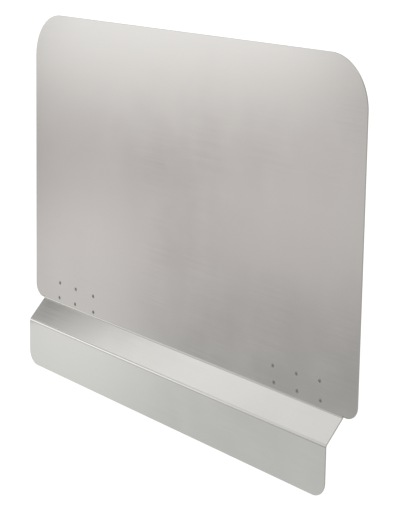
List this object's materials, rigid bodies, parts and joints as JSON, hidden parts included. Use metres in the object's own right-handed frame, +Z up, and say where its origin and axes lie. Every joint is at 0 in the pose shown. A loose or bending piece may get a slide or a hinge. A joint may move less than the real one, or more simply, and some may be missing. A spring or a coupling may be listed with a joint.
{
  "type": "sheet metal splash shield",
  "caption": "Upright sheet metal shield with rounded corners, a sloping ledge and a hanging skirt, with straps behind that hook it over a rim.",
  "frame": {"origin": "centre of the skirt's inner face, the face that bears on the outside of the rim", "axes": "+X along the bends, to the right for someone facing the skirt; +Y from the skirt towards the panel, into the rim; +Z up"},
  "size_m": [0.61, 0.0301, 0.457],
  "materials": {
    "sheet": "brushed",
    "strap": "mill finish",
    "weld": "heat tinted"
  },
  "bodies": {
    "root": {"shield_sheet": "sheet", "left_hook_strap": "strap", "right_hook_strap": "strap", "left_spot_weld_1": "weld", "left_spot_weld_2": "weld", "left_spot_weld_3": "weld", "left_spot_weld_4": "weld", "left_spot_weld_5": "weld", "left_spot_weld_6": "weld", "right_spot_weld_1": "weld", "right_spot_weld_2": "weld", "right_spot_weld_3": "weld", "right_spot_weld_4": "weld", "right_spot_weld_5": "weld", "right_spot_weld_6": "weld"}
  },
  "joints": []
}
